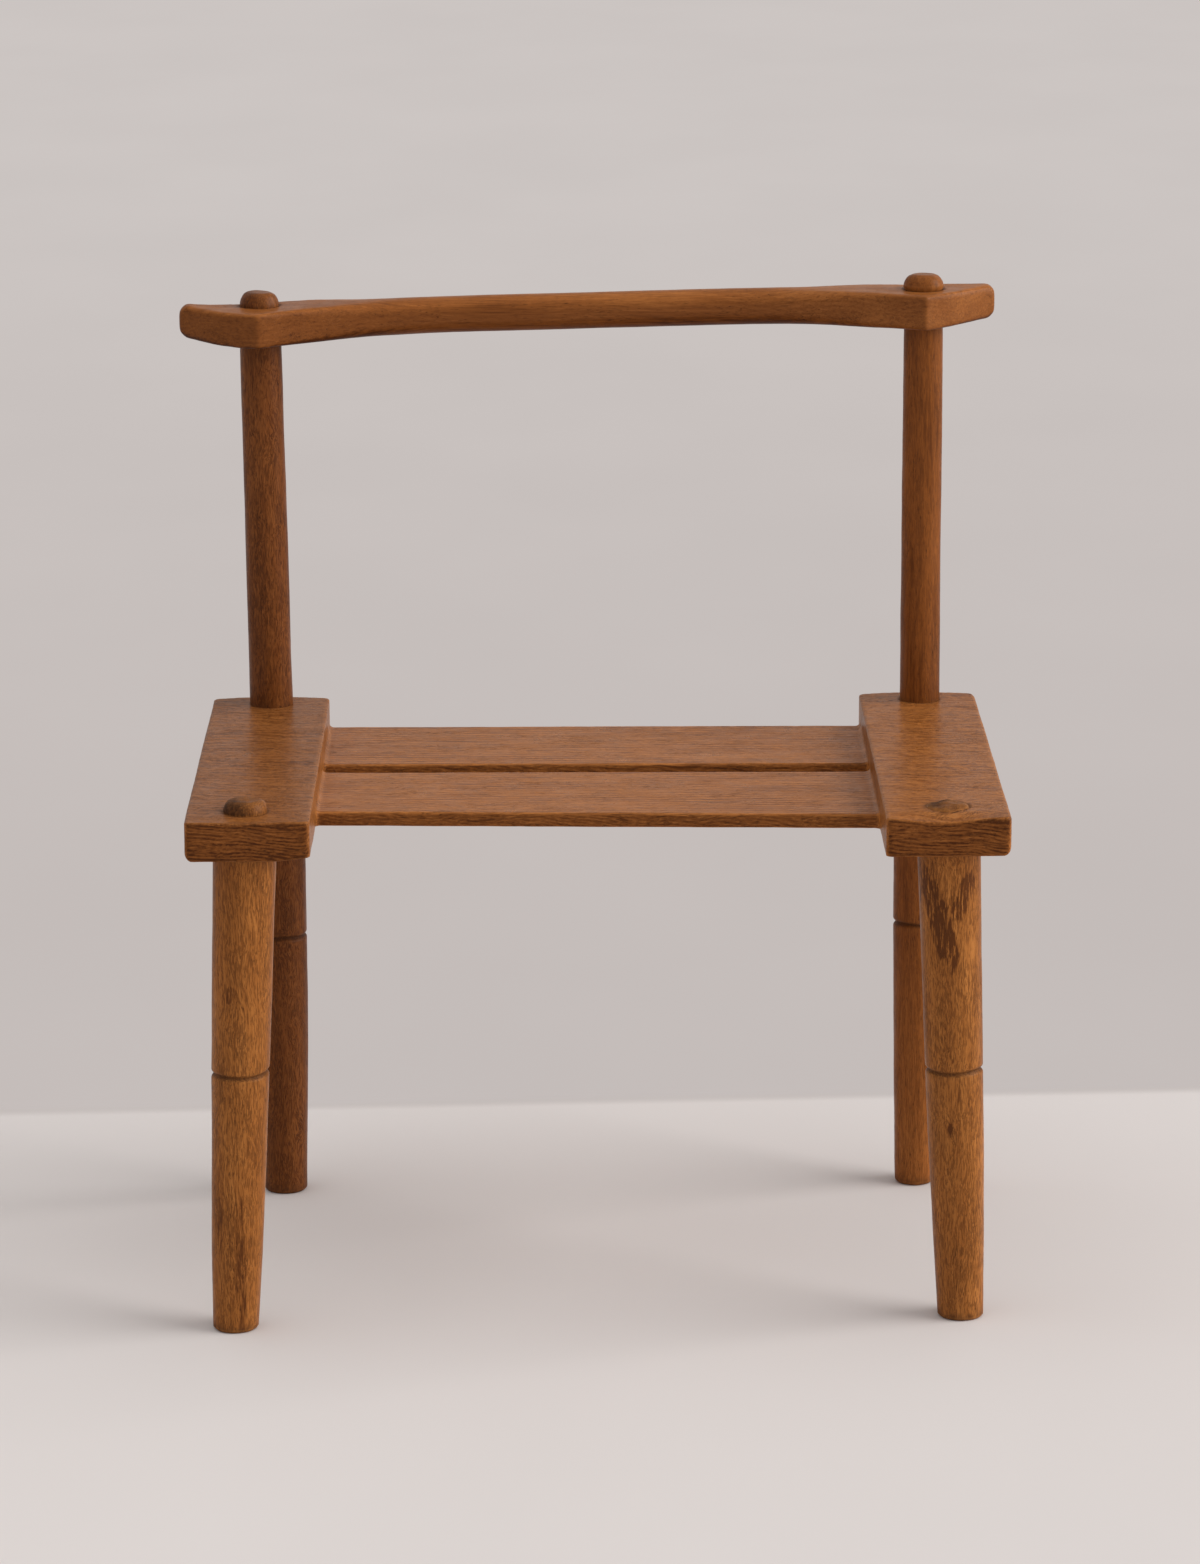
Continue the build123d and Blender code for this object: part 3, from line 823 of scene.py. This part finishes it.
def seat_material():
    """Grain from side to side: straight on the slats, swinging into arches on the pads."""
    wood = Wood("seat_wood", 0, 4.0, seat_color, contrast=1.35)
    wood.gloss = 0.06
    wood.dullness = 0.30
    wood.streak_length = 60 * mm
    wood.vein_length = 48 * mm
    wood.vein_strength = 0.6
    wood.line_share = 0.34
    wood.fleck_limit = 0.6
    graph = wood.graph
    end = graph.attribute("end")
    not_end = graph.math("SUBTRACT", 1.0, end)
    beside = graph.math("ABSOLUTE", graph.math("SUBTRACT", graph.axis(0), seat_middle))
    on_pad = graph.remap(beside, pad_inner - 3 * mm, pad_inner + 1 * mm)
    right_side = graph.remap(graph.axis(0), seat_middle, seat_middle + pad_inner, 0.0, 0.55)
    # The grain waves most on the pads' tops, and little on the slats.
    waving = graph.math("MULTIPLY_ADD", end, 0.35, 0.12)
    waving = graph.math("MULTIPLY_ADD", graph.math("MULTIPLY", on_pad, not_end), 0.88, waving)
    wood.bend(9 * mm, 24 * mm, 40 * mm, share=waving)
    lines = seat_lines(wood, end, on_pad)
    # The faces towards the front are darker, the pads' fronts most, and all of them most near the top.
    top_band = graph.remap(graph.axis(2), seat_top - 7 * mm, seat_top - 1 * mm, 0.0, 0.5)
    stain_and_shade = graph.math("ADD", graph.math("MULTIPLY_ADD", on_pad, 0.55, 0.5), top_band)
    # Painted light: the slats get a painted sheen, and the side towards the window is painted paler still.
    pale = graph.math("MULTIPLY_ADD", graph.math("SUBTRACT", 1.0, on_pad), 0.8, right_side)
    pale = graph.math("MULTIPLY", graph.math("MINIMUM", pale, 0.85), not_end)
    stain_and_shade = graph.math("MULTIPLY", end, stain_and_shade)
    return wood.finish(lines, stain_and_shade=stain_and_shade, painted_light=pale, raw=graph.attribute("raw"))


def make_seat(poles):
    mesh = remeshed("seat", seat_voxel, [(pole, seat_underside, seat_top) for pole in poles])
    chips = worn_surface(mesh, 21, rounds=1, wave=0.28 * mm, chip_depth=0.6 * mm)
    carve_front_ends(mesh)
    seat_marks(mesh, chips, poles)
    new_piece("seat_worn", mesh, seat_material(), "seat")


# ---- Crest -------------------------------------------------------------
def round_bar(points):
    """Rounds the crest's section between the uprights, from nearly square to nearly oval."""
    bins = np.arange(-wing_start, wing_start + bar_bin, bar_bin)
    place = np.digitize(points[:, 0], bins)
    middles = []
    halves = []
    for index in range(1, len(bins)):
        section = points[place == index, 1:]
        middles.append((section.max(0) + section.min(0)) / 2)
        halves.append((section.max(0) - section.min(0)) / 2)
    at = (bins[:-1] + bins[1:]) / 2
    middle = np.stack([np.interp(points[:, 0], at, np.array(middles)[:, axis]) for axis in (0, 1)], 1)
    half = np.stack([np.interp(points[:, 0], at, np.array(halves)[:, axis]) for axis in (0, 1)], 1)
    local = (points[:, 1:] - middle) / half
    size = (np.abs(local) ** bar_roundness).sum(1) ** (1 / bar_roundness)
    on_bar = smooth_step(wing_start - 5 * mm, wing_start - 95 * mm, np.abs(points[:, 0]))
    pull = 1 + (1 / np.maximum(size, 1) - 1) * on_bar
    points[:, 1:] = middle + local * half * pull[:, None]
    return points


def round_crest(mesh):
    """Rounds the bar, softens the wings and their tips, and keeps the noses crisper, the right one most."""
    points = round_bar(mesh_points(mesh))
    edges = mesh_edges(mesh)
    beside = np.abs(points[:, 0])
    keep = np.zeros(len(points))
    for side, crispness in ((-1, 0.3), (1, 0.85)):
        own = points[points[:, 0] * side > wing_start]
        nose = own[np.argmin(own[:, 1])]
        distance = np.hypot(points[:, 0] - nose[0], points[:, 1] - nose[1])
        keep = np.maximum(keep, crispness * (1 - smooth_step(4 * mm, 16 * mm, distance)))
    soft = smoothed(points, edges, 5)
    softer = smoothed(soft, edges, 12)
    on_tip = smooth_step(wing_start + 40 * mm, wing_start + 60 * mm, beside)[:, None]
    shaped = soft + (softer - soft) * on_tip
    set_points(mesh, points + (shaped - points) * (1 - keep)[:, None])


def crest_marks(mesh, chips, poles):
    """Where the crest is rubbed, where its joints are dark, and which faces look up or down, for painted
    light and shade.
    """
    points = mesh_points(mesh)
    standing = bulge(mesh, 8)
    speckle = lumps(points, 3 * mm, 41)
    arris = smooth_step(0.10 * mm, 0.5 * mm, standing)
    joint = np.zeros(len(points))
    for pole in poles:
        centre = pole.axis_at(pole.high.z)
        radius = np.hypot(points[:, 0] - centre.x, points[:, 1] - centre.y)
        joint = np.maximum(joint, 1 - smooth_step(13.2 * mm, 15 * mm, radius))
    rise = mesh_normals(mesh)[:, 2]
    set_attribute(mesh, "wear_and_highlight", arris * (0.35 + 0.4 * speckle) + 0.9 * chips)
    set_attribute(mesh, "dirt_and_shade", 0.8 * joint)
    # Painted light on the faces that look up, and painted shade on those that look down.
    set_attribute(mesh, "top", smooth_step(0.0, 0.75, rise) * (0.85 + 0.3 * speckle))
    set_attribute(mesh, "below", smooth_step(0.0, 0.7, -rise))


def crest_material():
    wood = Wood("crest_wood", 0, 7.0, crest_color)
    wood.relief = 0.08 * mm
    wood.line_share = 0.10
    wood.streak_length = 70 * mm
    wood.fleck_strength = 0.2
    wood.bend(1.2 * mm, 18 * mm, 60 * mm)
    # Painted light and shade: the top is painted paler and the underside darker.
    graph = wood.graph
    beside_top = graph.math("SUBTRACT", 1.0, graph.attribute("top"))
    # Painted shade on the sides of the left end, which turn away from the window.
    dark_end = graph.remap(graph.axis(0), dark_end_from, dark_end_to, 0.0, 0.4)
    dark_end = graph.math("MULTIPLY", beside_top, dark_end)
    stain_and_shade = graph.math("MULTIPLY_ADD", graph.attribute("below"), 0.8, dark_end)
    # Painted light on the right wing, which turns towards the window.
    pale_wing = graph.remap(graph.axis(0), pale_wing_from, pale_wing_to, 0.0, 0.25)
    pale_top = graph.math("MULTIPLY", graph.attribute("top"), 0.8)
    painted_light = graph.math("MAXIMUM", pale_wing, pale_top)
    lines = wood.figure(2, 4.0 * mm, 6.0, 14 * mm, 110 * mm, tilt=0.03)
    return wood.finish(lines, stain_and_shade=stain_and_shade, painted_light=painted_light)


def make_crest(poles):
    plugs = []
    for pole, head_height in poles:
        high = pole.high.z - head_height
        plugs.append((pole, high - crest_thickness, high))
    mesh = remeshed("crest_rail", crest_voxel, plugs)
    round_crest(mesh)
    chips = worn_surface(mesh, 51, rounds=1, wave=0.3 * mm, chip_depth=0.5 * mm)
    crest_marks(mesh, chips, [pole for pole, head_height in poles])
    new_piece("crest_worn", mesh, crest_material(), "crest_rail")


# ---- Room, light and camera --------------------------------------------
def seen_directly(graph):
    """1 for rays of the camera, reflections and glass, 0 for the rays that carry light."""
    path = graph.add("ShaderNodeLightPath")
    shown = graph.math("MAXIMUM", path.outputs["Is Camera Ray"], path.outputs["Is Glossy Ray"])
    return graph.math("MAXIMUM", shown, path.outputs["Is Transmission Ray"])


def room_material():
    """One plain surface: pale floor in front, and the wall's even tone behind a soft line."""
    graph = Graph("room")
    along = wall_line_right - wall_line_left
    behind = Vector((-along.y, along.x)).normalized()
    start = -(behind.x * wall_line_left.x + behind.y * wall_line_left.y)
    distance = graph.math("MULTIPLY_ADD", graph.axis(0), behind.x, start)
    distance = graph.math("MULTIPLY_ADD", graph.axis(1), behind.y, distance)
    past = graph.remap(distance, -wall_line_blur, wall_line_blur)
    clouds = graph.noise(graph.stretched((0.35, 0.6, 0.35)), detail=3.0)
    shade = graph.remap(clouds, 0.2, 0.8, 0.985, 1.015)
    floor_tone = graph.mix(1.0, rgba(floor_color), shade, "MULTIPLY")
    far = graph.remap(distance, 0.0, far_wall_distance)
    wall_tone = graph.mix(far, rgba(wall_color), rgba(far_wall_color))
    wall_tone = graph.mix(1.0, wall_tone, shade, "MULTIPLY")
    graph.feed(graph.mix(past, floor_tone, wall_tone), graph.shader.inputs["Base Color"])
    graph.feed(graph.remap(clouds, 0.2, 0.8, 0.62, 0.72), graph.shader.inputs["Roughness"])
    graph.shader.inputs["Specular IOR Level"].default_value = floor_gloss
    even = graph.add("ShaderNodeEmission", {"Color": wall_tone, "Strength": 1.0}).outputs[0]
    factor = graph.math("MULTIPLY", past, seen_directly(graph))
    blend = graph.add("ShaderNodeMixShader", {0: factor, 1: graph.shader.outputs[0], 2: even})
    output = graph.tree.nodes["Material Output"]
    graph.feed(blend.outputs[0], output.inputs["Surface"])
    return graph.material


def make_room():
    corners = [(-1, -1), (1, -1), (1, 1), (-1, 1)]
    mesh = bpy.data.meshes.new("floor")
    mesh.from_pydata([(x * floor_reach, y * floor_reach, 0) for x, y in corners], [], [(0, 1, 2, 3)])
    mesh.materials.append(room_material())
    floor = bpy.data.objects.new("floor", mesh)
    bpy.context.scene.collection.objects.link(floor)


def make_world():
    """Even light from all round; the camera sees the wall's tone in its place."""
    world = bpy.data.worlds.new("studio")
    world.use_nodes = True
    tree = world.node_tree
    tree.nodes.clear()
    light = tree.nodes.new("ShaderNodeBackground")
    light.inputs["Color"].default_value = rgba(ambient_color)
    light.inputs["Strength"].default_value = ambient_strength
    shown = tree.nodes.new("ShaderNodeBackground")
    shown.inputs["Color"].default_value = rgba(wall_color)
    shown.inputs["Strength"].default_value = 1.0
    path = tree.nodes.new("ShaderNodeLightPath")
    either = tree.nodes.new("ShaderNodeMath")
    either.operation = "MAXIMUM"
    blend = tree.nodes.new("ShaderNodeMixShader")
    output = tree.nodes.new("ShaderNodeOutputWorld")
    tree.links.new(path.outputs["Is Camera Ray"], either.inputs[0])
    tree.links.new(path.outputs["Is Transmission Ray"], either.inputs[1])
    tree.links.new(either.outputs[0], blend.inputs[0])
    tree.links.new(light.outputs[0], blend.inputs[1])
    tree.links.new(shown.outputs[0], blend.inputs[2])
    tree.links.new(blend.outputs[0], output.inputs["Surface"])
    bpy.context.scene.world = world


def make_sun(name, direction, strength, softness, color):
    light = bpy.data.lights.new(name, "SUN")
    light.energy = strength
    light.angle = softness
    light.color = color
    sun = bpy.data.objects.new(name, light)
    sun.rotation_euler = direction.to_track_quat("Z", "Y").to_euler()
    bpy.context.scene.collection.objects.link(sun)


def make_camera():
    level = Vector((math.sin(camera_yaw), math.cos(camera_yaw), 0))
    forward = level * math.cos(camera_pitch) - Vector((0, 0, math.sin(camera_pitch)))
    right = Vector((math.cos(camera_yaw), -math.sin(camera_yaw), 0))
    up = right.cross(forward)
    rolled_right = right * math.cos(camera_roll) + up * math.sin(camera_roll)
    rolled_up = up * math.cos(camera_roll) - right * math.sin(camera_roll)
    turn = Matrix((rolled_right, rolled_up, -forward)).transposed()
    lens = bpy.data.cameras.new("camera")
    lens.sensor_width = sensor_mm
    lens.lens = camera_focal_px / picture_height_px * sensor_mm
    lens.clip_end = 100
    camera = bpy.data.objects.new("camera", lens)
    camera.matrix_world = Matrix.Translation(camera_place) @ turn.to_4x4()
    bpy.context.scene.collection.objects.link(camera)
    bpy.context.scene.camera = camera


# ---- Darker figure on single poles -------------------------------------
def streaked(graph, patches, strength):
    """Stained patches that break up into streaks along a pole."""
    total = patches[0]
    for patch in patches[1:]:
        total = graph.math("MAXIMUM", total, patch)
    fine = graph.noise(graph.stretched((1.1 * mm, 1.1 * mm, 13 * mm)), detail=3.0, roughness=0.65)
    return graph.math("MULTIPLY", total, graph.remap(fine, 0.36, 0.60, 0.0, strength))


def right_front_stain(graph):
    """A dark flame down the front of the right front leg, with a smaller arm, a small hole and a knot."""
    front = -152 * mm
    long_size = (8 * mm, 20 * mm, 38 * mm)
    short_size = (5 * mm, 20 * mm, 22 * mm)
    flame = graph.patch((208 * mm, front, 258 * mm), long_size, turn=(0, -0.30, 0), ragged=0.7)
    arm = graph.patch((221 * mm, front, 271 * mm), short_size, turn=(0, 0.30, 0), ragged=0.7)
    front = -150 * mm
    hole_size = (1.5 * mm, 9 * mm, 3.4 * mm)
    knot_size = (2.2 * mm, 9 * mm, 5 * mm)
    hole = graph.patch((216.5 * mm, front, 169 * mm), hole_size, ragged=0.4, lump=2 * mm)
    knot = graph.patch((215.5 * mm, front, 126 * mm), knot_size, ragged=0.6, lump=2 * mm)
    small = graph.math("MAXIMUM", hole, graph.math("MULTIPLY", knot, 0.8))
    return graph.math("MAXIMUM", streaked(graph, [flame, arm], 2.3), graph.math("MULTIPLY", small, 1.8))


def left_front_stain(graph):
    """A few short dark marks above the ring, and two darker streaks that run down to the foot."""
    marks_size = (4 * mm, 20 * mm, 6 * mm)
    marks_place = (-220 * mm, -165 * mm, 215 * mm)
    marks = graph.patch(marks_place, marks_size, turn=(0, 0.6, 0), ragged=0.9, lump=2 * mm)
    side = graph.patch((-229 * mm, -160 * mm, 85 * mm), (3 * mm, 20 * mm, 45 * mm), ragged=0.9)
    front = graph.patch((-216 * mm, -160 * mm, 60 * mm), (3 * mm, 20 * mm, 70 * mm), ragged=0.9)
    return streaked(graph, [marks, side, front], 1.1)


def right_rear_stain(graph):
    """The post is darker than the leg under it."""
    return graph.remap(graph.axis(2), seat_top - 2 * mm, seat_top + 2 * mm, 0.0, 0.45)


# ---- The chair ---------------------------------------------------------
left_front = Pole("left_front_leg", left_front_ring, 1)
right_front = Pole("right_front_leg", right_front_ring, 2)
left_rear = Pole("left_rear_upright", left_rear_ring, 3)
right_rear = Pole("right_rear_upright", right_rear_ring, 4)
poles = [left_front, right_front, left_rear, right_rear]

bpy.context.scene.view_settings.view_transform = "Standard"
make_camera()
make_world()
make_sun("window", window_from, window_strength, window_softness, window_color)
make_sun("ceiling", ceiling_from, ceiling_strength, ceiling_softness, ceiling_color)
make_room()

make_pole(
    left_front,
    pole_material("left_front_wood", 1.0, front_leg_color, stain_and_shade=left_front_stain),
    Head(seat_top, 1.0 * mm, lump=9 * mm, darkening=0.9, crease=(2 * mm, 1.4 * mm, 0.22 * mm), fullness=0.6),
)
make_pole(
    right_front,
    pole_material("right_front_wood", 2.0, front_leg_color, stain_and_shade=right_front_stain),
    Head(seat_top, 2.4 * mm, lump=7 * mm, darkening=1.0, dark_angle=math.radians(150), fullness=1.0),
)
make_pole(
    left_rear,
    pole_material("left_rear_wood", 3.0, left_rear_color, lean=6 * mm),
    Head(left_rear.high.z - left_rear_head, 1.4 * mm, lump=9 * mm, shine=0.7),
)
make_pole(
    right_rear,
    pole_material(
        "right_rear_wood",
        5.0,
        right_rear_color,
        contrast=0.8,
        lean=1 * mm,
        flecks=0.35,
        stain_and_shade=right_rear_stain,
    ),
    Head(
        right_rear.high.z - right_rear_head,
        1.6 * mm,
        lump=11 * mm,
        shine=0.35,
        fullness=0.9,
        spread=1.10,
    ),
)
make_seat(poles)
make_crest([(left_rear, left_rear_head), (right_rear, right_rear_head)])
